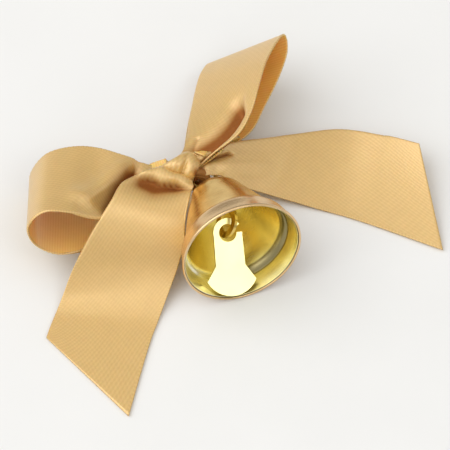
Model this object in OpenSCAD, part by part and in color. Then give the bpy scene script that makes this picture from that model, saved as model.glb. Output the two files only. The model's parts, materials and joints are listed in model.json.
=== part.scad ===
// Small bell lying on its side, with a satin bow tied through the loop of its hanger.
// Millimetres, +Z up, resting on z = 0. The mouth of the bell faces the front (-Y).

/* [Cup] */
// Diameter of the mouth
mouth_d = 25; // [21:0.5:30]
// Height of the cup, from the mouth to the top of the crown
cup_h = 20; // [16.5:0.5:24]
// Thickness of the sheet metal
cup_wall = 0.6; // [0.5:0.1:0.8]
// Radius of the domed crown
dome_r = 6.6; // [5.5:0.1:7.4]
// Height of the raised band round the mouth
band_h = 4.1; // [3:0.1:5]
// Narrowing of the band, from the mouth to its upper edge
band_taper = 1.1; // [0.6:0.1:1.6]
// How far the band stands out from the cup above it
band_step = 0.7; // [0.4:0.1:1]

/* [Hanger] */
// Thickness of the stamped strip
strip_t = 0.6; // [0.5:0.1:0.8]
// Radius of the round neck in the crown
neck_r = 1.2; // [0.9:0.1:1.5]
// Radius of the hole in the outer loop
loop_hole_r = 1.8; // [1.7:0.1:2.2]
// Width of metal round the outer loop's hole
loop_rim = 0.8; // [0.6:0.1:1]
// Distance of the outer loop from the crown
loop_gap = 0.4; // [0.2:0.1:1]
// Radius of the eye in the inner tab
eye_r = 1.75; // [1.6:0.05:2]
// Width of metal round the eye
eye_rim = 1.3; // [0.9:0.1:1.4]
// Length of the eye's straight part
eye_slot = 0.7; // [0.4:0.1:1]
// Turn of the inner tab about the bell's axis, in degrees
tab_turn = 55; // [45:1:65]

/* [Clapper] */
// Thickness of the clapper's plate
clapper_t = 0.6; // [0.4:0.1:0.8]
// Depth of the clapper's pivot inside the mouth
pivot_depth = 9.8; // [8:0.1:11]
// Radius of the hole in the hook
hook_hole_r = 1.8; // [1.7:0.05:2.1]
// Width of the hook's bar
hook_bar = 1.15; // [0.9:0.05:1.3]
// Length from the pivot to the round end
clapper_len = 15; // [12:0.1:15.5]
// Width of the shank at its foot
shank_w = 6; // [4.5:0.1:6.4]
// Width of the paddle
paddle_w = 10; // [8:0.1:11]
// Distance kept between the resting paddle's tip and the mouth's radius
paddle_room = 1.53; // [1.4:0.01:3]

/* [Ribbon] */
// Width of the ribbon
ribbon_w = 20; // [16:0.5:24]
// Thickness of the ribbon
ribbon_t = 0.4; // [0.3:0.1:0.6]
// Radius of the knot
knot_r = 3.3; // [2.8:0.1:3.5]
// Length of the knot
knot_len = 7.6; // [6.5:0.1:9]
// Radius of the gathered ribbon that passes through the hanger
turn_r = 1.2; // [1:0.1:1.4]

/* [Hidden] */

// Fits and fineness
neck_fit = 0.05;
neck_inside = 1;
cut_past = 0.01;
arc_step = 6;
round_fn = 64;
rings_per_span = 4;

// Places: the middle of the whole footprint, the hanger's pivot and the knot
footprint_mid = [2.02, -4.52, 0];
hang_point = [-4, 6.1, 7.55];
knot_at = [-8.4, 6.2, 11.2];
bell_yaw = 19.3;
clapper_roll = 15;
clapper_twist = 8;
pivot_lift = 0.3;
hook_opening = 33;
paddle_drop = 3.1;
paddle_flare = 3;
hook_blend = [0.05, 0.4];
paddle_steps = 6;
knot_yaw = 15;
knot_arc = 60;
knot_crown = 0.6;
room_from = 4;

// The bell leans until its rim, or its band, is on the table and its hanger is at the
// ribbon's height
mouth_r = mouth_d / 2;
loop_mid = loop_hole_r + loop_rim + loop_gap;
hang_len = cup_h + loop_mid;
function lean_on(r, depth) = let (reach = hang_len - depth)
    acos(hang_point[2] / norm([r, reach])) - atan2(reach, r);
bell_tilt = max(lean_on(mouth_r, 0), lean_on(mouth_r - band_taper, band_h));

// The clapper swings out until its tip is near the wall, which narrows inwards
function swing_to(r) = asin(min(r / clapper_len, 1));
function settled(swing, tries) = tries == 0 ? swing : let (
    inside = max(0, pivot_depth - clapper_len * cos(swing)),
    wall_r = mouth_r - paddle_room - inside * band_taper / band_h
) settled((swing + swing_to(wall_r)) / 2, tries - 1);
rest_swing = settled(swing_to(mouth_r - paddle_room), 12);

// The ribbon's places below are for a ribbon and a bell of these sizes
laid_w = 20;
laid_mouth_r = 12.5;

// Stations of each ribbon stretch, from the knot outward and, for a loop, back again:
// [x, y, z], [compass and lift of the width's direction], share of the ribbon's width
LEFT_LOOP = [
    [[-10, 5.8, 11.4], [-60, -18], 0.22],
    [[-14, 5.2, 12], [-85, -9], 0.24],
    [[-19, 1.8, 13.2], [-90, 8], 0.6],
    [[-25, 1.5, 12.6], [-90, 5], 0.9],
    [[-30.5, 1.2, 14.2], [-90, 14], 1],
    [[-36, 0.7, 13.6], [-90, 20], 1],
    [[-39, -1, 9.6], [-90, 24], 1],
    [[-37.5, -1.8, 5.4], [-90, 22], 1],
    [[-32, -2, 3.9], [-90, 18], 1],
    [[-25, -0.5, 3.8], [-90, 16], 0.9],
    [[-19, 3.2, 5.6], [-90, 15], 0.52],
    [[-14.5, 5.6, 8.4], [-85, 8], 0.24],
    [[-10.5, 6.2, 10.2], [-70, 0], 0.22]
];
UPPER_LOOP = [
    [[-7.2, 7.6, 11.6], [-36, -15], 0.22],
    [[-6, 10.4, 12], [-38, 14], 0.26],
    [[-4, 14.6, 12.2], [-34, 28], 0.54],
    [[-1, 20, 12], [-34, 34], 0.86],
    [[0.4, 26, 11.6], [-30, 40], 0.98],
    [[1.8, 32, 10.6], [-22, 42], 1],
    [[3.6, 36.4, 8.6], [-6, 39], 1],
    [[4.2, 35, 6.2], [-6, 36], 1],
    [[3.2, 30.5, 5.4], [-9, 32], 0.92],
    [[1.4, 25.3, 4.6], [-14, 28], 0.78],
    [[-0.8, 19.5, 4.6], [-16, 22], 0.55],
    [[-3.6, 13.6, 6.8], [-18, 12], 0.3],
    [[-6.4, 9, 9.6], [-28, 2], 0.22]
];
LEFT_TAIL = [
    [[-10, 4.2, 12.8], [-51, -20], 0.22],
    [[-11.4, 2.4, 13.8], [-25, -22], 0.34],
    [[-12.9, 0.3, 15], [-13, -18], 0.58],
    [[-15.5, -4.7, 14.1], [0, -16], 0.8],
    [[-18.2, -9.5, 9.7], [2, -9], 0.92],
    [[-20.6, -14.3, 4.8], [1, -3], 1],
    [[-22.4, -18.6, 1.6], [-3, 0], 1],
    [[-23.7, -22.4, 0.5], [-6, 0], 1],
    [[-25.2, -27.5, 0.25], [-14, 0], 1],
    [[-27.4, -37, 0.25], [-49, 0], 1.25]
];
RIGHT_TAIL = [
    [[-6, 6.4, 11.2], [-62, -10], 0.22],
    [[-2.8, 7.6, 10.6], [-78, -28], 0.24],
    [[0.5, 9.3, 8.4], [-82, -28], 0.38],
    [[3.8, 10.9, 5.9], [-90, -27], 0.48],
    [[8.4, 12.1, 3.7], [-97, -18], 0.6],
    [[14, 12.7, 2.3], [-98, -10], 0.76],
    [[22, 12.4, 1.6], [-99, -7], 0.96],
    [[30.4, 9.8, 2.1], [-101, -10], 1],
    [[41, 5, 2.8], [-79, -11], 1.2]
];

// Shape of the cup in a plane through its axis, set in from the outside by a distance
shoulder_turn = 14;
waist_pull = [1.2, 2.6];
shoulder_pull = [1.1, 2.6];
lip_step = [0.35, 1.2];
band_edge = 0.3;
function dome_point(a, inset) = let (r = dome_r - inset)
    [r * cos(a), -(cup_h - dome_r) - r * sin(a)];
function bezier(p, t) =
    pow(1 - t, 3) * p[0] + 3 * pow(1 - t, 2) * t * p[1] + 3 * (1 - t) * t * t * p[2] + pow(t, 3) * p[3];
function cup_profile(inset) = let (
    band_top_r = mouth_r - band_taper - inset,
    foot = [band_top_r - band_step, -band_h - band_edge],
    shoulder = dome_point(shoulder_turn, inset),
    waist = [
        foot,
        foot - waist_pull,
        shoulder + shoulder_pull,
        shoulder
    ]
) concat(
    [
        [0, 0], [mouth_r - inset, 0],
        [mouth_r - inset - lip_step[0], -lip_step[1]], [band_top_r, -band_h]
    ],
    [for (t = [0 : 0.1 : 0.9]) bezier(waist, t)],
    [for (a = [shoulder_turn : arc_step : 89]) dome_point(a, inset)],
    [[0, -cup_h + inset]]
);

// Moves a piece from the bell's own axes (mouth at z = 0, crown at -cup_h) to its place
module place_bell() {
    translate(hang_point - footprint_mid)
        rotate([0, 0, bell_yaw])
            rotate([90 - bell_tilt, 0, 0])
                translate([0, 0, hang_len])
                    children();
}

module bell_cup() color("goldenrod") place_bell() difference() {
    rotate_extrude($fn = round_fn) polygon(cup_profile(0));
    translate([0, 0, cut_past])
        rotate_extrude($fn = round_fn) polygon(cup_profile(cup_wall));
    translate([0, 0, -cup_h - neck_r])
        cylinder(r = neck_r + neck_fit, h = cup_wall + 2 * neck_r, $fn = round_fn);
}

// A round-ended slot: two circles a distance apart, joined
module slot_outline(r, slot) {
    for (side = [-1, 1])
        translate([0, side * slot / 2]) circle(r, $fn = round_fn);
    square([2 * r, slot], center = true);
}

// A flat piece of the strip, standing in the plane y = 0
module strip_plate() rotate([90, 0, 0]) linear_extrude(strip_t, center = true) children();

module hanger() color("gold") place_bell() {
    tab_mid = -pivot_depth + pivot_lift;
    strip_len = cup_h - pivot_depth;
    translate([0, 0, tab_mid]) rotate([0, 0, tab_turn]) strip_plate() difference() {
        union() {
            slot_outline(eye_r + eye_rim, eye_slot);
            translate([0, -strip_len / 2]) square([2 * neck_r, strip_len], center = true);
        }
        slot_outline(eye_r, eye_slot);
    }
    translate([0, 0, -cup_h - loop_gap - loop_rim / 2])
        cylinder(r = neck_r, h = loop_gap + loop_rim / 2 + cup_wall + neck_inside, $fn = round_fn);
    translate([0, 0, -hang_len]) strip_plate() difference() {
        circle(loop_hole_r + loop_rim, $fn = round_fn);
        circle(loop_hole_r, $fn = round_fn);
    }
}

// Outline of the clapper's plate: the middle of the hook's bar is at the origin, the plate
// hangs towards -Y
module clapper_outline() {
    hook_r = hook_hole_r + hook_bar;
    hook_mid = [0, -hook_hole_r - hook_bar / 2];
    neck = [hook_r - hook_blend[0], hook_mid[1] - hook_blend[1]];
    corner_y = paddle_drop - clapper_len;
    foot_y = corner_y + paddle_flare;
    round_r = (pow(paddle_w / 2, 2) + pow(paddle_drop, 2)) / (2 * paddle_drop);
    half_arc = asin(paddle_w / 2 / round_r);
    difference() {
        union() {
            translate(hook_mid) circle(hook_r, $fn = round_fn);
            polygon(concat(
                [[-neck[0], neck[1]], [-shank_w / 2, foot_y]],
                [for (k = [-paddle_steps : paddle_steps]) let (a = half_arc * k / paddle_steps)
                    [round_r * sin(a), round_r * (1 - cos(a)) - clapper_len]],
                [[shank_w / 2, foot_y], neck]
            ));
        }
        translate(hook_mid) {
            circle(hook_hole_r, $fn = round_fn);
            polygon([[0, 0], [2 * hook_r, 0], 2 * hook_r * [cos(hook_opening), sin(hook_opening)]]);
        }
    }
}

module clapper() color("lightgoldenrodyellow") place_bell() {
    translate([0, 0, -pivot_depth]) rotate([0, 0, -clapper_roll])
        rotate([rest_swing, 0, 0]) rotate([0, 0, clapper_twist]) rotate([-90, 0, 0])
            linear_extrude(clapper_t, center = true) clapper_outline();
}

// A ribbon stretch: a thin strip whose width follows the directions at its stations
function heading(turn) = [cos(turn[0]) * cos(turn[1]), sin(turn[0]) * cos(turn[1]), sin(turn[1])];
function flat_station(s, settle, aside) = let (
    way = heading(s[1]),
    growth = s[2] * (ribbon_w - laid_w) / 2,
    moved = settle == 0 ? [0, 0, abs(way[2])] : settle * way
) [s[0] - footprint_mid + moved * growth + aside, way * s[2] * ribbon_w / 2];
function between(a, b, c, d, t) = 0.5 * (2 * b + (c - a) * t
    + (2 * a - 5 * b + 4 * c - d) * t * t + (3 * b - a - 3 * c + d) * t * t * t);
function path_at(list, field, i, t) = between(
    list[max(i - 1, 0)][field], list[i][field],
    list[i + 1][field], list[min(i + 2, len(list) - 1)][field], t);
function smooth_stations(list, settle, aside) = let (
    room = aside * (mouth_r - laid_mouth_r),
    flat = [for (k = [0 : len(list) - 1])
        flat_station(list[k], settle, room * min(k / room_from, 1))]
) [
    for (i = [0 : len(flat) - 2])
        for (k = [0 : rings_per_span - 1])
            [path_at(flat, 0, i, k / rings_per_span), path_at(flat, 1, i, k / rings_per_span)],
    flat[len(flat) - 1]
];
function unit(v) = v / norm(v);

// As the ribbon widens, settle says what stays: the edges' height (0), or the edge on the
// width's own side (-1). As the mouth widens, the stretch moves aside.
module stretch(stations, settle = 0, aside = [0, 0, 0]) {
    rings = smooth_stations(stations, settle, aside);
    last = len(rings) - 1;
    points = [
        for (i = [0 : last])
            let (
                along = rings[min(i + 1, last)][0] - rings[max(i - 1, 0)][0],
                half = rings[i][1],
                lift = unit(cross(along, half)) * ribbon_t / 2
            )
            for (corner = [half + lift, half - lift, -half - lift, -half + lift])
                rings[i][0] + corner
    ];
    sides = [
        for (i = [0 : last - 1])
            for (k = [0 : 3])
                let (a = 4 * i + k, b = 4 * i + (k + 1) % 4)
                each [[a, b, b + 4], [a, b + 4, a + 4]]
    ];
    ends = [[3, 2, 1, 0], [for (k = [0 : 3]) 4 * last + k]];
    polyhedron(points, concat(sides, ends), convexity = 6);
}

// The gathered ribbon: a ring through the hanger's loop, which closes inside the knot
module ribbon_turn() color("tan") {
    ring_r = loop_hole_r + loop_rim / 2;
    reach = knot_at - hang_point;
    translate(hang_point - footprint_mid)
        rotate([0, 0, atan2(reach[1], reach[0])])
            translate([ring_r, 0, 0])
                rotate([90, 0, 0])
                    rotate_extrude($fn = round_fn)
                        translate([ring_r, 0]) circle(turn_r, $fn = 24);
}

module bow_knot() color("burlywood") {
    half = knot_len / 2;
    translate(knot_at - footprint_mid) rotate([0, 90, knot_yaw])
        rotate_extrude($fn = round_fn)
            polygon(concat(
                [[0, -half]],
                [for (a = [-knot_arc : knot_arc / 4 : knot_arc])
                    [knot_r * (1 - knot_crown + knot_crown * cos(a)), half * sin(a) / sin(knot_arc)]],
                [[0, half]]
            ));
}

module left_loop() color("tan") stretch(LEFT_LOOP);
module upper_loop() color("tan") stretch(UPPER_LOOP);
module left_tail() color("burlywood") stretch(LEFT_TAIL, -1, [-1, 0, 0]);
module right_tail() color("burlywood") stretch(RIGHT_TAIL, -1, [0, 0.5, 0]);

bell_cup();
hanger();
clapper();
ribbon_turn();
bow_knot();
left_loop();
upper_loop();
left_tail();
right_tail();
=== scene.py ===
"""Small gold bell on its side, with a satin bow tied through its hanger, on a pale table."""
import json
import math

import bpy
import numpy as np
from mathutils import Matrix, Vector


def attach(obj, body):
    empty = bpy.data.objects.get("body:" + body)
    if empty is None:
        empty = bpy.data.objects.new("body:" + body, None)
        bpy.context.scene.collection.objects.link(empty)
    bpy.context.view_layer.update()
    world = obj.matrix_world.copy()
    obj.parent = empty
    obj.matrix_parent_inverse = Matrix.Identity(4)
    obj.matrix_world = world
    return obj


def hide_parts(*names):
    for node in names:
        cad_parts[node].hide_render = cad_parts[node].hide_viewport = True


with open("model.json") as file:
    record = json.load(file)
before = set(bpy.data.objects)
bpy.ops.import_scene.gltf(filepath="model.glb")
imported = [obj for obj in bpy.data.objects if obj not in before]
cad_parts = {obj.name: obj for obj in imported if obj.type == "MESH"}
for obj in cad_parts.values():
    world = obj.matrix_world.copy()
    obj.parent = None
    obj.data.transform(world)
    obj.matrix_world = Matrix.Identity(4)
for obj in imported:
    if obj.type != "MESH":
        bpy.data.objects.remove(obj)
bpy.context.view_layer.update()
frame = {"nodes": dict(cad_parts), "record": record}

MM = 0.001
MID = np.array([2.02, -4.52, 0.0])  # the row frame's origin in the stations' own coordinates

# The ribbon, in mm
RIBBON_W = 20.0
RIBBON_T = 0.3
COLUMNS = 97
BEND = 0.1
RING_STEP = 0.42
RIPPLE = 0.03
RIB_PITCH = 0.53
ROW_PITCH = 0.66
BORDER_IN = 9.35
BORDER_OUT = 9.5
SELVEDGE_BEAD = 0.05
SELVEDGE_PITCH = 0.95
BEAD_SHARE = 0.06
KNOT_FACE = 1

# The roll through the hanger's loop: ring's radius, start and sweep, roll's inner and outer radius
TURN_R = 2.2
TURN_FROM = 24
TURN_SWEEP = 312
ROLL_IN = 0.25
ROLL_OUT = 1.12

# Painted shade in creases: the crease depth that is painted fully dark, how far the painted shade
# reaches, how dark the roll through the hanger's loop is painted, and the shade's colour
DEEP = 1.1
CREASE_SHADE_REACH = 0.8
TURN_SHADE = 0.8
CREASE_SHADE_TONE = (0.24, 0.06, 0.01)

# Room kept between cloth and what it must not touch, in mm
LOOP_REACH = 4.2
LOOP_FADE = 0.35
LOOP_CLEAR = 1.0
BELL_CLEAR = 0.45
EASE = 0.15
LIE_EASE = 0.3
SWING_STEPS = 4

# The picture and the table, in metres
VIEW_W = 0.09
CAMERA_AWAY = 1.2
SENSOR = 36.0
TABLE_W = 4.0

# The camera's direction, and the two directions of its picture, in the row frame
LOOK_UP = math.radians(55.4)
TOWARDS = np.array([0.0, -math.cos(LOOK_UP), math.sin(LOOK_UP)])
RIGHT = np.array([1.0, 0.0, 0.0])
UPWARD = np.array([0.0, math.sin(LOOK_UP), math.cos(LOOK_UP)])

# ---------------------------------------------------------------- the bell's own axes
JOINTS = {j["name"]: j for j in frame["record"]["behaviour"]["joints"]}
HANG = np.array(JOINTS["bell_swing"]["pos_m"]) / MM
MOUTH_R = 12.5
CUP_WALL = 0.6
CUP_SIDES = 128
CROWN_R = 6.6
CROWN_H = 13.4
HANG_LEN = 23.0
FULL_SWING = math.radians(JOINTS["bell_swing"]["range_deg"][1])
BELL_YAW = math.radians(19.3)
BELL_TILT = math.acos(HANG[2] / math.hypot(MOUTH_R, HANG_LEN)) - math.atan2(HANG_LEN, MOUTH_R)
AXIS = np.array([
    math.cos(BELL_TILT) * math.sin(BELL_YAW),
    -math.cos(BELL_TILT) * math.cos(BELL_YAW),
    math.sin(BELL_TILT),
])
SIDE = np.array([math.cos(BELL_YAW), math.sin(BELL_YAW), 0.0])
OVER = np.cross(AXIS, SIDE)
MOUTH = HANG + AXIS * HANG_LEN

# ---------------------------------------------------------------- ribbon stations
# [x, y, z], [compass and lift of the width's direction], share of the ribbon's width
LEFT_LOOP = [
    [[-10, 5.2, 10.4], [-60, -18], 0.2],
    [[-14, 5.1, 10.1], [-85, -9], 0.2],
    [[-18.8, 2.3, 12.6], [-90, 8], 0.58],
    [[-25, 1.5, 12.6], [-90, 5], 0.9],
    [[-30.5, 1.2, 14.2], [-90, 14], 1],
    [[-36, 0.7, 13.6], [-90, 20], 1],
    [[-39.2, -1, 9.6], [-90, 24], 1],
    [[-37.6, -2.1, 5.3], [-90, 22], 1],
    [[-32, -2.4, 3.7], [-90, 18], 1],
    [[-25, -0.5, 3.8], [-90, 16], 0.9],
    [[-19, 3.2, 5.6], [-90, 15], 0.52],
    [[-14.5, 5.6, 8.4], [-85, 8], 0.24],
    [[-10.5, 6.2, 10.2], [-70, 0], 0.22],
]
UPPER_LOOP = [
    [[-7.2, 7.6, 11.6], [-36, -15], 0.22],
    [[-5.6, 10.2, 12], [-38, 14], 0.34],
    [[-2.6, 14.6, 12.2], [-34, 28], 0.69],
    [[-0.8, 20, 12], [-34, 34], 0.88],
    [[0.4, 26, 11.6], [-30, 40], 0.98],
    [[1.8, 32, 10.6], [-22, 42], 1],
    [[4.1, 37.3, 8.8], [-6, 39], 1],
    [[4.6, 35.5, 6.2], [-6, 36], 1],
    [[3.2, 30.5, 5.4], [-9, 32], 0.92],
    [[1.4, 25.3, 4.6], [-14, 28], 0.78],
    [[-0.3, 19.5, 4.6], [-16, 22], 0.6],
    [[-3.6, 13.6, 6.8], [-18, 12], 0.3],
    [[-6.4, 9, 9.6], [-28, 2], 0.22],
]
LEFT_TAIL = [
    [[-9.4, 4.0, 12.0], [-20, -14], 0.3],
    [[-10.9, 2.4, 13], [-16, -15], 0.5],
    [[-13.3, -0.5, 13.3], [-8, -10], 0.73],
    [[-14.6, -5.4, 12.5], [-8, -14], 0.85],
    [[-17.3, -9.9, 9.7], [-2, -9], 0.94],
    [[-20.0, -14.3, 4.8], [0, -3], 1.03],
    [[-22.0, -18.6, 1.6], [-3, 0], 1.03],
    [[-23.4, -22.4, 0.5], [-6, 0], 1.02],
    [[-25, -27.5, 0.25], [-14, 0], 1.01],
    [[-27.2, -36.7, 0.25], [-48.3, 0], 1.24],
]
RIGHT_TAIL = [
    [[-6, 6.4, 11.2], [-62, -10], 0.22],
    [[-2.8, 8.3, 9.6], [-78, -28], 0.25],
    [[0.5, 9.1, 8.7], [-82, -24], 0.4],
    [[3.8, 10.1, 7.0], [-90, -22], 0.49],
    [[8.4, 11.3, 4.9], [-97, -16], 0.6],
    [[14, 12.3, 2.9], [-98, -10], 0.76],
    [[22, 12.4, 1.6], [-99, -7], 0.96],
    [[30.4, 9.8, 2.1], [-101, -10], 1],
    [[41.5, 5, 2.8], [-79, -11], 1.19],
]
KNOT = np.array([-8.4, 6.2, 11.2]) - MID


# ---------------------------------------------------------------- node helpers
def new_material(name):
    mat = bpy.data.materials.new(name)
    mat.use_nodes = True
    tree = mat.node_tree
    tree.nodes.clear()
    out = tree.nodes.new("ShaderNodeOutputMaterial")
    shader = tree.nodes.new("ShaderNodeBsdfPrincipled")
    tree.links.new(shader.outputs[0], out.inputs[0])
    return mat, tree, shader


def node(tree, kind, ins=None, **props):
    made = tree.nodes.new("ShaderNode" + kind)
    for key, value in props.items():
        setattr(made, key, value)
    for key, value in (ins or {}).items():
        socket = made.inputs[key]
        if isinstance(value, bpy.types.NodeSocket):
            tree.links.new(value, socket)
        else:
            socket.default_value = value
    return made


def math_node(tree, op, a, b=0.0, c=0.0):
    return node(tree, "Math", {0: a, 1: b, 2: c}, operation=op).outputs[0]


def mix_color(tree, factor, a, b, blend="MIX"):
    made = node(tree, "Mix", data_type="RGBA", blend_type=blend)
    for socket, value in ((made.inputs[0], factor), (made.inputs[6], a), (made.inputs[7], b)):
        if isinstance(value, bpy.types.NodeSocket):
            tree.links.new(value, socket)
        else:
            socket.default_value = value
    return made.outputs[2]


def ramp(tree, value, stops):
    made = node(tree, "ValToRGB", {0: value})
    line = made.color_ramp.elements
    while len(line) < len(stops):
        line.new(0.5)
    for element, (place, color) in zip(line, stops):
        element.position = place
        element.color = (*color, 1.0)
    return made.outputs[0]


def mapped(tree, value, a, b, c, d):
    return node(tree, "MapRange", {0: value, 1: a, 2: b, 3: c, 4: d}).outputs[0]


# ---------------------------------------------------------------- materials
def satin(name, reverse):
    """Satin ribbon: fine twill rows on the face, ribs across on the reverse, painted shade in creases.
    UVs are in mm.
    """
    mat, tree, shader = new_material(name)
    uv = node(tree, "UVMap", uv_map="cloth").outputs[0]
    split = node(tree, "SeparateXYZ", {0: uv})
    u, v = split.outputs[0], split.outputs[1]
    edge = math_node(tree, "ABSOLUTE", v)
    border = mapped(tree, edge, BORDER_IN, BORDER_OUT, 0.0, 1.0)
    wander = node(tree, "TexNoise", {"Vector": uv, "Scale": 0.35, "Detail": 2.0}).outputs[0]
    cloud = node(tree, "TexNoise", {"Vector": uv, "Scale": 1.6, "Detail": 3.0}).outputs[0]
    pitch = 2 * math.pi / RIB_PITCH
    row_pitch = 2 * math.pi / ROW_PITCH
    if reverse:
        rib = math_node(tree, "SINE", math_node(tree, "MULTIPLY", u, pitch))
        thread = math_node(tree, "SINE", math_node(tree, "MULTIPLY", v, pitch * 1.25))
        weave = math_node(tree, "ADD", math_node(tree, "MULTIPLY", rib, 0.75),
                          math_node(tree, "MULTIPLY", thread, 0.25))
        low, high = (0.82, 0.50, 0.13), (0.90, 0.60, 0.19)
    else:
        slope = math_node(tree, "ADD", math_node(tree, "MULTIPLY", u, row_pitch * 0.36),
                          math_node(tree, "MULTIPLY", v, row_pitch * 0.93))
        cross = math_node(tree, "ADD", math_node(tree, "MULTIPLY", u, row_pitch * 0.62),
                          math_node(tree, "MULTIPLY", v, row_pitch * -0.45))
        drift = mapped(tree, cloud, 0.3, 0.7, -0.9, 0.9)
        rows = math_node(tree, "SINE", math_node(tree, "ADD", slope, drift))
        dashes = math_node(tree, "SINE", cross)
        weave = math_node(tree, "ADD", math_node(tree, "MULTIPLY", rows, 0.7),
                          math_node(tree, "MULTIPLY", dashes, 0.3))
        low, high = (0.67, 0.425, 0.135), (0.75, 0.495, 0.175)
    bead = math_node(tree, "SINE", math_node(tree, "MULTIPLY", u, pitch))
    weave = node(tree, "Mix", {0: border, 2: weave, 3: bead}).outputs[0]
    level = mapped(tree, weave, -1.0, 1.0, 0.0, 1.0)
    thread_color = mix_color(tree, level, (*low, 1), (*high, 1))
    tone = mapped(tree, wander, 0.35, 0.65, 0.985, 1.015)
    color = mix_color(tree, 1.0, thread_color,
                      node(tree, "CombineColor", {0: tone, 1: tone, 2: tone}).outputs[0], "MULTIPLY")
    # Painted shade: creases, the knot's gap and the roll are darkened towards a deep brown.
    crease_shade = node(tree, "Attribute", attribute_name="crease_shade").outputs["Fac"]
    color = mix_color(tree, math_node(tree, "MULTIPLY", crease_shade, 0.9), color, (*CREASE_SHADE_TONE, 1))
    tree.links.new(color, shader.inputs["Base Color"])
    rough = mapped(tree, cloud, 0.3, 0.7, 0.29, 0.33)
    tree.links.new(rough, shader.inputs["Roughness"])
    bump = node(tree, "Bump", {"Strength": 0.17, "Distance": 0.00005, "Height": weave})
    tree.links.new(bump.outputs[0], shader.inputs["Normal"])
    shader.inputs["Metallic"].default_value = 0.0 if reverse else 0.25
    # Less sheen and coat where the shade is painted, as in shadow.
    shine = mapped(tree, crease_shade, 0.0, 0.8, 0.6 if reverse else 1.0, 0.05)
    tree.links.new(shine, shader.inputs["Specular IOR Level"])
    shader.inputs["Subsurface Weight"].default_value = 0.5 if reverse else 0.2
    shader.inputs["Subsurface Radius"].default_value = (1.0, 0.45, 0.12)
    shader.inputs["Subsurface Scale"].default_value = 0.5 * MM
    if not reverse:
        tree.links.new(mapped(tree, crease_shade, 0.0, 0.8, 0.5, 0.0), shader.inputs["Coat Weight"])
        shader.inputs["Coat Roughness"].default_value = 0.38
        shader.inputs["Anisotropic"].default_value = 0.75
        tangent = node(tree, "Tangent", direction_type="UV_MAP", uv_map="thread")
        tree.links.new(tangent.outputs[0], shader.inputs["Tangent"])
    return mat


def bell_coords(tree):
    """Distance along the bell's axis from the mouth, and round it, from object coordinates."""
    place = node(tree, "TexCoord").outputs["Object"]
    centred = node(tree, "VectorMath", {0: place, 1: tuple(MOUTH * MM)}, operation="SUBTRACT").outputs[0]
    out = []
    for direction in (AXIS, SIDE, OVER):
        dot = node(tree, "VectorMath", {0: centred, 1: tuple(direction)}, operation="DOT_PRODUCT")
        out.append(math_node(tree, "MULTIPLY", dot.outputs["Value"], 1.0 / MM))
    return out


def metal(name, base, dark, rough, streak, polish=False, bands=()):
    """Plated brass with fine turned lines round the bell's axis and faint stains.

    A band is (near, far, begin, full, colour): a tone between two heights above the mouth that
    grows from nothing to full between two places across the mouth."""
    mat, tree, shader = new_material(name)
    along, side, over = bell_coords(tree)
    angle = math_node(tree, "ARCTAN2", over, side)
    spot = node(tree, "CombineXYZ", {0: along, 1: side, 2: over}).outputs[0]
    stain = node(tree, "TexNoise", {"Vector": spot, "Scale": 0.22, "Detail": 4.0}).outputs[0]
    fine = node(tree, "CombineXYZ", {0: math_node(tree, "MULTIPLY", along, 9.0),
                                     1: math_node(tree, "MULTIPLY", angle, 1.5)}).outputs[0]
    lines = node(tree, "TexNoise", {"Vector": fine, "Scale": 1.0, "Detail": 3.0}).outputs[0]
    shade = mapped(tree, stain, 0.35, 0.68, 0.0, 1.0)
    color = mix_color(tree, shade, (*base, 1), (*dark, 1))
    for near, far, begin, full, tone in bands:
        start = mapped(tree, along, -far - 0.3, -far, 0.0, 1.0)
        stop = mapped(tree, along, -near, -near + 0.3, 1.0, 0.0)
        part = mapped(tree, side, begin, full, 0.0, 1.0)
        amount = math_node(tree, "MULTIPLY", math_node(tree, "MULTIPLY", start, stop), part)
        color = mix_color(tree, amount, color, (*tone, 1))
    tree.links.new(color, shader.inputs["Base Color"])
    grain = math_node(tree, "MULTIPLY", math_node(tree, "SUBTRACT", lines, 0.5), streak)
    blotch = math_node(tree, "MULTIPLY", math_node(tree, "SUBTRACT", stain, 0.5), 0.25 * rough)
    tree.links.new(
        math_node(tree, "ADD", math_node(tree, "ADD", grain, blotch), rough),
        shader.inputs["Roughness"])
    bump = node(tree, "Bump", {"Strength": 0.12 if polish else 0.3, "Distance": 0.00002, "Height": lines})
    tree.links.new(bump.outputs[0], shader.inputs["Normal"])
    shader.inputs["Metallic"].default_value = 1.0
    return mat


# ---------------------------------------------------------------- meshes
def make_object(name, verts, faces, materials, face_slots=None, uvs=None, painted_shade=None):
    mesh = bpy.data.meshes.new(name)
    mesh.from_pydata([tuple(v) for v in np.asarray(verts) * MM], [], [tuple(f) for f in faces])
    for mat in materials:
        mesh.materials.append(mat)
    if face_slots is not None:
        mesh.polygons.foreach_set("material_index", np.asarray(face_slots, dtype=np.int32))
    if uvs is not None:
        layer = mesh.uv_layers.new(name="cloth")
        order = np.zeros(len(mesh.loops), dtype=np.int32)
        mesh.loops.foreach_get("vertex_index", order)
        spread = np.asarray(uvs, dtype=np.float32)[order]
        layer.data.foreach_set("uv", spread.ravel())
        layer = mesh.uv_layers.new(name="thread")
        layer.data.foreach_set("uv", np.ascontiguousarray(spread[:, ::-1]).ravel())
    # Painted shade for each point, read by the satin's colour.
    if painted_shade is not None:
        layer = mesh.attributes.new("crease_shade", "FLOAT", "POINT")
        layer.data.foreach_set("value", np.asarray(painted_shade, dtype=np.float32))
    mesh.polygons.foreach_set("use_smooth", [True] * len(mesh.polygons))
    mesh.update()
    obj = bpy.data.objects.new(name, mesh)
    bpy.context.scene.collection.objects.link(obj)
    return obj


def catmull(a, b, c, d, t):
    return 0.5 * (2 * b + (c - a) * t + (2 * a - 5 * b + 4 * c - d) * t * t
                  + (3 * b - a - 3 * c + d) * t ** 3)


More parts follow.
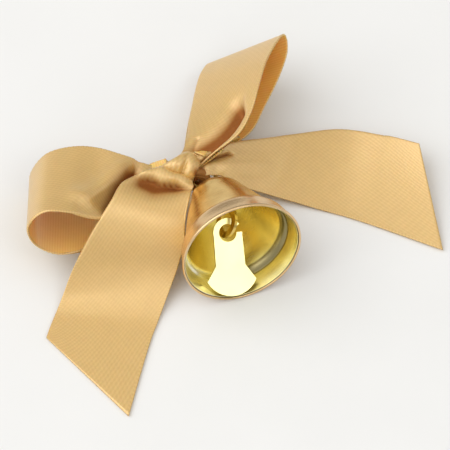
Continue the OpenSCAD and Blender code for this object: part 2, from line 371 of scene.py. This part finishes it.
def stations_path(stations):
    """Evenly spaced rings: centre, half-width vector and distance along."""
    place = np.array([s[0] for s in stations], dtype=float) - MID
    half = []
    for station in stations:
        (compass, lift), share = station[1], station[2]
        c, l = math.radians(compass), math.radians(lift)
        half.append(np.array([math.cos(c) * math.cos(l), math.sin(c) * math.cos(l), math.sin(l)])
                    * share * RIBBON_W / 2)
    half = np.array(half)
    last = len(stations) - 1
    fine = np.linspace(0, last, last * 60 + 1)
    pts, ws = [], []
    for t in fine:
        i = min(int(t), last - 1)
        f = t - i
        k = [max(i - 1, 0), i, i + 1, min(i + 2, last)]
        pts.append(catmull(*[place[j] for j in k], f))
        ws.append(catmull(*[half[j] for j in k], f))
    pts, ws = np.array(pts), np.array(ws)
    far = np.concatenate([[0], np.cumsum(np.linalg.norm(np.diff(pts, axis=0), axis=1))])
    count = int(round(far[-1] / RING_STEP)) + 1
    want = np.linspace(0, far[-1], count)
    grab = lambda a: np.stack([np.interp(want, far, a[:, k]) for k in range(a.shape[1])], axis=1)
    return grab(pts), grab(ws), want


def smooth(low, high, x):
    t = np.clip((x - low) / (high - low), 0.0, 1.0)
    return t * t * (3 - 2 * t)


def layered_section(v, share, hem, bend):
    """Across and outward places, in half widths, of cloth lying in flat layers.

    Each layer is as wide as the share. The outermost begins at the edge hem, +1 or -1, and the
    rest goes back and forth under it, with a length of cloth called bend in each turn."""
    far = np.linspace(0, 2, 801)
    lean = np.zeros_like(far)
    turn = 1
    while 2 * share * turn < 2 + bend:
        way = math.pi if turn % 2 else -math.pi
        lean += way * smooth(2 * share * turn - bend / 2, 2 * share * turn + bend / 2, far)
        turn += 1
    step = np.diff(far)
    middle = (lean[1:] + lean[:-1]) / 2
    gone = np.concatenate([[0], np.cumsum(np.cos(middle) * step)])
    sunk = np.concatenate([[0], np.cumsum(np.sin(middle) * step)])
    place = 1 - hem * v
    across = hem * (share - np.interp(place, far, gone) * max(share, 1.0))
    return across, -np.interp(place, far, sunk)


def ribbon_surface(stations, hem, face):
    """Points of the ribbon's middle surface, ring by ring.

    Also the outward way of each ring, the distance along, the mm across of each point and the
    share of each ring. Fine ripples fade out as the ribbon widens from gathered to flat."""
    pts, halves, along = stations_path(stations)
    v = np.linspace(-1, 1, COLUMNS)
    size = np.linalg.norm(halves, axis=1)
    share = size / (RIBBON_W / 2)
    travel = np.gradient(pts, axis=0)
    outs = np.cross(travel, halves)
    outs *= face / np.linalg.norm(outs, axis=1, keepdims=True)
    grid = np.zeros((len(pts), COLUMNS, 3))
    wide = np.zeros((len(pts), COLUMNS))
    for i in range(len(pts)):
        across, outward = layered_section(v, share[i], hem, BEND)
        wide[i] = across * RIBBON_W / 2
        rough = RIPPLE * (1 - smooth(0.3, 0.75, share[i]))
        outward = outward * RIBBON_W / 2 + rough * np.sin(wide[i] * 3.1 + 0.09 * along[i])
        grid[i] = pts[i] + wide[i][:, None] * halves[i] / size[i] + outward[:, None] * outs[i]
    return grid, outs, along, v, wide, share


def press(grid, outs, along, wide, share, creases):
    """Ridges and hollows pressed into the cloth along lines of (mm along, share across).

    Each crease is its points, its height (below 0 for a hollow), its reach in mm on the left
    and on the right of the line's own direction, and how far it leans away from the knot."""
    far = np.repeat(along[:, None], wide.shape[1], axis=1)
    middle = grid[:, wide.shape[1] // 2]
    travel = np.gradient(middle, axis=0)
    travel /= np.linalg.norm(travel, axis=1, keepdims=True)
    shade_amount = np.zeros(far.shape)
    for points, height, left, right, lean in creases:
        line = np.array([[a, c * RIBBON_W / 2 * np.interp(a, along, share)] for a, c in points])
        best = np.full(far.shape, 1e9)
        side = np.zeros(far.shape)
        for p, q in zip(line[:-1], line[1:]):
            run = q - p
            size = np.linalg.norm(run)
            t = np.clip(((far - p[0]) * run[0] + (wide - p[1]) * run[1]) / size ** 2, 0, 1)
            d = np.hypot(far - p[0] - t * run[0], wide - p[1] - t * run[1])
            off = ((far - p[0]) * run[1] - (wide - p[1]) * run[0]) / size
            side = np.where(d < best, off, side)
            best = np.minimum(best, d)
        reach = right + (left - right) * (0.5 - 0.5 * np.tanh(side / 0.6))
        way = outs + lean * travel
        grid += way[:, None, :] * (height * np.exp(-(best / reach) ** 2))[:, :, None]
        # Painted shade for the colour: hollows are painted darker the deeper they are, over a narrower
        # reach.
        shade_amount += max(-height, 0.0) / DEEP * np.exp(-(best / (CREASE_SHADE_REACH * reach)) ** 2)
    return np.clip(shade_amount, 0.0, 1.0)


def lay_on_table(grid):
    """Nothing goes below the table: points near it are eased up to rest on it."""
    z = grid[:, :, 2]
    near = RIBBON_T + LIE_EASE
    grid[:, :, 2] = np.where(z < near, RIBBON_T + LIE_EASE * np.exp((z - near) / LIE_EASE), z)


def eased(short):
    """How far to move: what is short of the room needed, or about 0 where nothing is short."""
    return EASE * np.log1p(np.exp(np.clip(short / EASE, -30, 30)))


def keep_off_bell(grid):
    """Cloth in the bell's way, at rest or anywhere in its swing, is eased off it."""
    outline = cup_outline()
    for swing in np.linspace(0.0, FULL_SWING, SWING_STEPS):
        axis = AXIS * math.cos(swing) + SIDE * math.sin(swing)
        mouth = HANG + axis * HANG_LEN
        height = (mouth - grid) @ axis
        spoke = grid - mouth + height[:, :, None] * axis
        r = np.linalg.norm(spoke, axis=2)
        need = np.interp(height, outline[:, 1], outline[:, 0], right=0.0) + BELL_CLEAR
        need = np.where(height < 0, 0.0, need)
        extra = eased(need - r)
        grid += spoke / np.maximum(r, 0.1)[:, :, None] * extra[:, :, None]


def keep_off_hanger(grid):
    """Cloth at the hanger's loop is lifted clear of it."""
    away = grid - HANG
    over = away @ OVER
    flat = np.linalg.norm(away - over[:, :, None] * OVER, axis=2)
    near = 1 / (1 + np.exp((flat - LOOP_REACH) / LOOP_FADE))
    extra = eased(LOOP_CLEAR - over)
    grid += (extra * near)[:, :, None] * OVER


def grid_normals(grid):
    du = np.gradient(grid, axis=0)
    dv = np.gradient(grid, axis=1)
    n = np.cross(du, dv)
    return n / np.maximum(np.linalg.norm(n, axis=2, keepdims=True), 1e-9)


def strip_faces(rows, cols, base, closed=False):
    """Faces of a closed thin strip whose two sides are grids of points, the second after base."""
    faces, slots = [], []
    last = rows if closed else rows - 1
    for i in range(last):
        for j in range(cols - 1):
            a, b = i * cols + j, i * cols + j + 1
            d, c = ((i + 1) % rows) * cols + j, ((i + 1) % rows) * cols + j + 1
            faces += [(a, d, c, b), (base + a, base + b, base + c, base + d)]
            slots += [0, 1]
    edges = []
    if closed:
        for j in (0, cols - 1):
            rim = [i * cols + j for i in range(rows)]
            edges.append((rim + rim[:1])[:: 1 if j == 0 else -1])
    else:
        rim = [i * cols for i in range(rows)]
        rim += [(rows - 1) * cols + j for j in range(1, cols)]
        rim += [i * cols + cols - 1 for i in range(rows - 2, -1, -1)]
        rim += [j for j in range(cols - 2, -1, -1)]
        edges.append(rim)
    for rim in edges:
        for a, b in zip(rim[:-1], rim[1:]):
            faces.append((b, a, base + a, base + b))
            slots.append(0)
    return faces, slots


def strip_object(name, grid, along, v, face, mats, closed=False, painted_shade=None):
    """A thin closed strip: satin face outside, ribbed reverse inside, beaded selvedges."""
    rows, cols = grid.shape[:2]
    normal = grid_normals(grid) * face
    edge = np.clip((np.abs(v) - 1 + BEAD_SHARE) / BEAD_SHARE, 0, 1)
    thick = np.full(len(v), RIBBON_T / 2)
    bead = SELVEDGE_BEAD * np.sin(along * 2 * math.pi / SELVEDGE_PITCH)[:, None] * (edge ** 2)[None, :]
    top = grid + normal * (thick[None, :, None] + bead[:, :, None])
    low = grid - normal * thick[None, :, None]
    verts = np.concatenate([top.reshape(-1, 3), low.reshape(-1, 3)])
    cloth = np.stack([np.repeat(along, cols), np.tile(v * face * RIBBON_W / 2, rows)], axis=1)
    faces, slots = strip_faces(rows, cols, rows * cols, closed)
    if face < 0:
        faces = [f[::-1] for f in faces]
    # Painted shade for each point, the same on both sides of the strip.
    deep = np.zeros(len(verts)) if painted_shade is None else np.tile(painted_shade.ravel(), 2)
    obj = make_object(name, verts, faces, mats, slots, np.concatenate([cloth, cloth]), deep)
    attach(obj, "bow")
    return obj


# ---------------------------------------------------------------- the four ribbon stretches
LEFT_LOOP_CREASES = [
    ([(12.0, -0.35), (14.6, 0.0), (17.4, 0.3), (19.5, 0.5)], 1.4, 1.8, 2.8, 0.0),
    ([(9.6, -0.1), (11.4, 0.35), (13.0, 0.85)], -3.4, 2.0, 2.6, 0.0),
]
UPPER_LOOP_CREASES = [
    ([(1.5, 0.35), (4.0, 0.44), (8.0, 0.52), (11.0, 0.58), (13.5, 0.62)], -2.3, 1.3, 2.6, 0.0),
    ([(1.8, -0.38), (5.5, -0.4)], -0.35, 0.5, 0.5, 0.0),
]
LEFT_TAIL_CREASES = [
    ([(1.2, -0.6), (1.6, 0.0), (0.8, 0.4)], 0.7, 1.5, 1.2, 0.5),
    ([(4.2, -0.45), (4.7, -0.1), (3.6, 0.34)], -2.0, 0.7, 3.0, 0.0),
]
RIGHT_TAIL_CREASES = [
    ([(0.4, -0.3), (0.9, 0.4), (0.7, 1.0)], -2.6, 1.2, 1.0, 0.0),
    ([(1.5, -0.1), (5.5, -0.4), (8.2, -0.45)], -1.2, 0.5, 0.5, 0.0),
    ([(3.4, 0.3), (9.0, 0.25), (15.0, 0.1)], 0.5, 2.4, 2.4, 0.0),
]


def build_ribbon(cad_node, stations, creases, hem, face):
    grid, outs, along, v, wide, share = ribbon_surface(stations, hem, face)
    painted_shade = press(grid, outs, along, wide, share, creases)
    keep_off_bell(grid)
    keep_off_hanger(grid)
    lay_on_table(grid)
    obj = strip_object(cad_node + "_ribbon", grid, along, v, face, CLOTH, painted_shade=painted_shade)
    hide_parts(cad_node)
    return obj


# ---------------------------------------------------------------- the bell
def cup_outline():
    """Outside profile from the lip to the crown: (radius, height above the mouth)."""
    pts = [(12.12, 0.0), (12.36, 0.12), (12.42, 0.35), (12.34, 0.7), (12.12, 1.2), (11.85, 2.2)]
    pts += [(11.55, 3.3), (11.4, 4.0), (11.2, 4.35), (10.85, 4.5), (10.6, 4.75)]
    foot = np.array([10.6, 4.75])
    turn = math.radians(14)
    shoulder = np.array([CROWN_R * math.cos(turn), CROWN_H + CROWN_R * math.sin(turn)])
    pull = [foot, foot + [-1.2, 2.5], shoulder + [1.08, -2.6], shoulder]
    for t in np.linspace(0.08, 1, 14):
        p = ((1 - t) ** 3 * pull[0] + 3 * (1 - t) ** 2 * t * pull[1]
             + 3 * (1 - t) * t * t * pull[2] + t ** 3 * pull[3])
        pts.append(tuple(p))
    for a in np.linspace(turn, math.radians(80), 13)[1:]:
        pts.append((CROWN_R * math.cos(a), CROWN_H + CROWN_R * math.sin(a)))
    return np.array(pts)


def build_cup(outside, inside):
    outer = cup_outline()
    tangent = np.gradient(outer, axis=0)
    tangent /= np.linalg.norm(tangent, axis=1, keepdims=True)
    inner = outer + np.stack([-tangent[:, 1], tangent[:, 0]], axis=1) * CUP_WALL
    inner = inner[inner[:, 1] > 0.05]
    profile = np.concatenate([inner[::-1], outer])
    border = len(inner)
    verts, faces, slots = [], [], []
    for r, h in profile:
        for k in range(CUP_SIDES):
            a = 2 * math.pi * k / CUP_SIDES
            verts.append(MOUTH - AXIS * h + (SIDE * math.cos(a) + OVER * math.sin(a)) * r)
    for i in range(len(profile) - 1):
        for k in range(CUP_SIDES):
            a, b = i * CUP_SIDES + k, i * CUP_SIDES + (k + 1) % CUP_SIDES
            faces.append((a, b, b + CUP_SIDES, a + CUP_SIDES))
            slots.append(1 if i < border - 1 else 0)
    last = (len(profile) - 1) * CUP_SIDES
    for k in range(CUP_SIDES):
        b = (k + 1) % CUP_SIDES
        faces.append((last + k, last + b, b, k))
        slots.append(0)
    obj = make_object("bell_shell", verts, faces, [outside, inside], slots)
    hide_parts("bell_cup")
    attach(obj, "bell")
    return obj


def dress_node(name, mat, width):
    obj = frame["nodes"][name]
    obj.data.materials.clear()
    obj.data.materials.append(mat)
    bevel = obj.modifiers.new("edge", "BEVEL")
    bevel.width = width * MM
    bevel.segments = 2
    bevel.limit_method = "ANGLE"


# ---------------------------------------------------------------- the knot and the turn
def build_knot():
    """The ribbon wrapped once round the middle, from a narrow top right to a wide foot."""
    corners = [[1.0, 3.6], [3.6, 1.2], [-5.4, -0.35], [1.6, -3.4]]
    top_in, top_out, foot_in, foot_out = [RIGHT * r + UPWARD * u for r, u in corners]
    rings, cols = 144, 97
    v = np.linspace(-1, 1, cols)
    grid = np.zeros((rings, cols, 3))
    painted_shade = np.zeros((rings, cols))
    for i in range(rings):
        a = 2 * math.pi * i / rings
        front = 0.5 + 0.5 * math.cos(a)
        down = 0.5 + 0.5 * math.sin(a)
        share = (1.9 + 2.0 * down) / (RIBBON_W / 2)
        across, sunk = layered_section(v, share, 1, 0.06)
        w = (across / share)[:, None]
        start = top_in * (1 - w) / 2 + top_out * (1 + w) / 2
        end = foot_in * (1 - w) / 2 + foot_out * (1 + w) / 2
        crown = (np.sqrt(np.clip(1 - 0.45 * w ** 4, 0.2, 1)) + sunk[:, None] * 2.6)
        bulge = 1.6 * np.exp(-((w + 0.9) / 0.9) ** 2) * down ** 2 * front
        flat = (start + end) / 2 + (end - start) / 2 * math.sin(a) * crown
        off = (flat @ RIGHT - 0.2) * 0.94 - (flat @ UPWARD) * 0.33
        hollow = 0.9 * np.exp(-(off / 0.6) ** 2) * front
        rib = 0.05 * np.sin(off * 6.0) * front
        # Painted shade in the dark gap at the knot's lower right, between the knot, the right tail and
        # the bell.
        seen_r, seen_u = flat @ RIGHT - 2.5, flat @ UPWARD + 1.1
        painted_shade[i] = np.exp(-(seen_r / 0.7) ** 2 - (seen_u / 1.2) ** 2)
        lift = (3.0 + bulge) * crown - hollow[:, None] + rib[:, None]
        grid[i] = KNOT + flat + lift * math.cos(a) * TOWARDS
    middle = np.concatenate([grid, grid[:1]])[:, int(cols * 0.9)]
    along = np.concatenate([[0], np.cumsum(np.linalg.norm(np.diff(middle, axis=0), axis=1))])
    obj = strip_object("knot_band", grid, along[:-1], v, KNOT_FACE, CLOTH, closed=True, painted_shade=painted_shade)
    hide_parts("bow_knot")
    return obj


def build_turn():
    """The ribbon rolled up lengthwise where it passes through the hanger's loop."""
    reach = KNOT - HANG
    flat = math.atan2(reach[1], reach[0])
    way = np.array([math.cos(flat), math.sin(flat), 0.0])
    up = np.array([0.0, 0.0, 1.0])
    sidewise = np.cross(way, up)
    cols, rings = 121, 72
    s = np.linspace(0, RIBBON_W, cols)
    radius = np.sqrt(ROLL_IN ** 2 + (ROLL_OUT ** 2 - ROLL_IN ** 2) * s / RIBBON_W)
    pitch = math.pi * (ROLL_OUT ** 2 - ROLL_IN ** 2) / RIBBON_W
    angle = 2 * math.pi * (radius - ROLL_IN) / pitch
    grid = np.zeros((rings, cols, 3))
    for i in range(rings):
        a = math.radians(TURN_FROM + TURN_SWEEP * i / (rings - 1))
        ring = HANG + way * TURN_R - (way * math.cos(a) + up * math.sin(a)) * -TURN_R
        radial = way * math.cos(a) + up * math.sin(a)
        turn = angle + a * 0.5
        grid[i] = (ring + np.outer(radius * np.cos(turn), radial)
                   + np.outer(radius * np.sin(turn), sidewise))
    along = np.linspace(0, math.radians(TURN_SWEEP) * TURN_R, rings)
    # The whole roll is painted dark as shade, as it lies deep between the knot and the bell.
    painted_shade = np.full((rings, cols), TURN_SHADE)
    obj = strip_object("turn_roll", grid, along, s / (RIBBON_W / 2) - 1, 1, CLOTH, painted_shade=painted_shade)
    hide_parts("ribbon_turn")
    return obj


# ---------------------------------------------------------------- stage
def area_light(name, place, size, power):
    """A square lamp at place, in metres, that shines on the middle of the table."""
    data = bpy.data.lights.new(name, "AREA")
    data.shape = "SQUARE"
    data.size = size
    data.energy = power
    obj = bpy.data.objects.new(name, data)
    obj.location = place
    obj.rotation_mode = "QUATERNION"
    obj.rotation_quaternion = (-Vector(place)).to_track_quat("-Z", "Y")
    bpy.context.scene.collection.objects.link(obj)
    return obj


def build_stage():
    scene = bpy.context.scene
    mesh = bpy.data.meshes.new("table_top")
    half = TABLE_W / 2
    mesh.from_pydata([(-half, -half, 0), (half, -half, 0), (half, half, 0), (-half, half, 0)], [],
                     [(0, 1, 2, 3)])
    mat, tree, shader = new_material("table_white")
    grain = node(tree, "TexNoise", {"Vector": node(tree, "TexCoord").outputs["Object"],
                                    "Scale": 40.0, "Detail": 3.0}).outputs[0]
    tree.links.new(ramp(tree, grain, [(0.0, (0.80, 0.80, 0.79)), (1.0, (0.84, 0.84, 0.83))]),
                   shader.inputs["Base Color"])
    shader.inputs["Roughness"].default_value = 0.9
    shader.inputs["Specular IOR Level"].default_value = 0.1
    mesh.materials.append(mat)
    floor = bpy.data.objects.new("table_top", mesh)
    scene.collection.objects.link(floor)

    world = bpy.data.worlds.new("studio")
    scene.world = world
    world.use_nodes = True
    tree = world.node_tree
    back = tree.nodes["Background"]
    back.inputs[0].default_value = (1.0, 0.99, 0.97, 1)
    sky = node(tree, "TexCoord").outputs["Generated"]
    bright_side = (-0.40, -0.28, 0.87)
    lean = node(tree, "VectorMath", {0: sky, 1: bright_side}, operation="DOT_PRODUCT").outputs["Value"]
    tree.links.new(mapped(tree, lean, 0.2, 0.9, 0.38, 1.08), back.inputs[1])

    area_light("window", (-0.66, 0.0, 0.7), 1.0, 4.15)
    area_light("front_card", (0.5, -0.5, 0.86), 0.4, 0.9)
    area_light("strip", (0.75, 0.0, 0.4), 0.7, 0.8)


def build_camera():
    scene = bpy.context.scene
    data = bpy.data.cameras.new("camera")
    camera = bpy.data.objects.new("camera", data)
    scene.collection.objects.link(camera)
    scene.camera = camera
    data.sensor_width = SENSOR
    data.lens = SENSOR * CAMERA_AWAY / VIEW_W
    centre = 6 * MM / math.sin(LOOK_UP) * TOWARDS - MID * MM
    camera.location = Vector(centre + TOWARDS * CAMERA_AWAY)
    camera.rotation_mode = "QUATERNION"
    camera.rotation_quaternion = Vector(-TOWARDS).to_track_quat("-Z", "Y")
    data.clip_start, data.clip_end = 0.01, 20.0
    scene.view_settings.view_transform = "Standard"


build_camera()
build_stage()

SATIN_FACE = satin("satin_face", False)
SATIN_REVERSE = satin("satin_reverse", True)
CLOTH = [SATIN_FACE, SATIN_REVERSE]
# The lip band is the metal's own pinker tone. The inside bands are painted light: a painted dark
# reflection on the step towards the right, painted shade on the left wall deeper in, and a painted
# highlight on the left near the rim.
LIP_TONE = (0.0, 4.1, -30.0, -20.0, (0.80, 0.56, 0.30))
STEP_DARK_REFLECTION = (3.7, 5.2, -3.0, 2.0, (0.30, 0.25, 0.12))
SHADED_WALL = (5.4, 20.0, -1.0, -6.0, (0.7, 0.52, 0.14))
LIT_RIM = (0.0, 4.8, -3.0, -8.0, (1.0, 0.96, 0.74))
CUP_OUTSIDE = metal("cup_outside", (0.86, 0.60, 0.22), (0.66, 0.41, 0.12), 0.26, 0.12,
                    bands=(LIP_TONE,))
CUP_INSIDE = metal("cup_inside", (1.0, 0.92, 0.47), (1.0, 0.88, 0.42), 0.26, 0.06, True,
                   bands=(STEP_DARK_REFLECTION, SHADED_WALL, LIT_RIM))
HANGER_GOLD = metal("hanger_gold", (0.86, 0.62, 0.18), (0.78, 0.55, 0.15), 0.25, 0.05, True)
CLAPPER_GOLD = metal("clapper_gold", (1.0, 0.92, 0.42), (0.98, 0.90, 0.40), 0.3, 0.05, True)

build_cup(CUP_OUTSIDE, CUP_INSIDE)
dress_node("hanger", HANGER_GOLD, 0.06)
dress_node("clapper", CLAPPER_GOLD, 0.06)
build_ribbon("left_loop", LEFT_LOOP, LEFT_LOOP_CREASES, -1, 1)
build_ribbon("upper_loop", UPPER_LOOP, UPPER_LOOP_CREASES, 1, -1)
build_ribbon("left_tail", LEFT_TAIL, LEFT_TAIL_CREASES, 1, 1)
build_ribbon("right_tail", RIGHT_TAIL, RIGHT_TAIL_CREASES, 1, -1)
build_knot()
build_turn()
